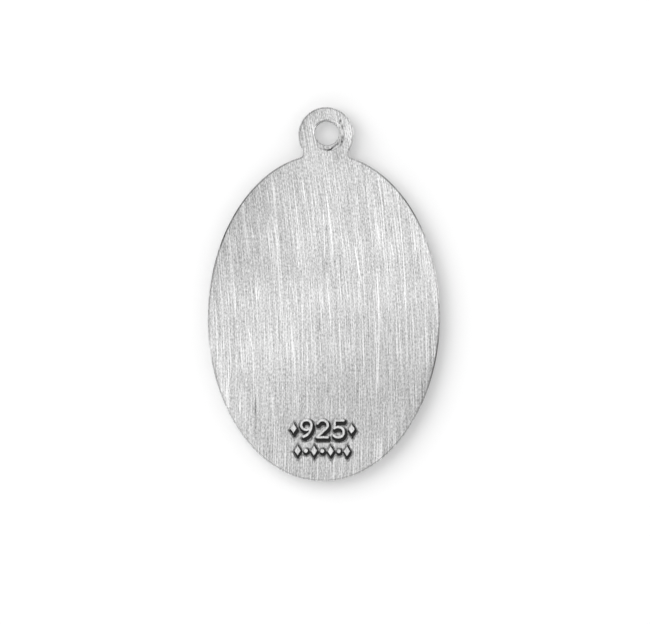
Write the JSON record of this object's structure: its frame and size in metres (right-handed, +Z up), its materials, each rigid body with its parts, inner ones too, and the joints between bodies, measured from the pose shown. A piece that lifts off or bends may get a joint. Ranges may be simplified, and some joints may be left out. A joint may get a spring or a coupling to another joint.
{
  "type": "religious medal pendant",
  "caption": "Flat oval silver medal with a round ear pierced for a ring, a brushed back with a small sunken mark, and a raised rim and cross on its front.",
  "frame": {"origin": "on the resting surface, under the middle of the medal's length and width", "axes": "+Y towards the ear along the medal's length, +Z up out of the brushed back, +X to the right as seen from above"},
  "size_m": [0.0174, 0.0282, 0.0014],
  "materials": {
    "silver": "sterling silver, brushed lengthwise, dark in the sunken mark"
  },
  "bodies": {
    "root": {"medal": "silver"}
  },
  "joints": []
}
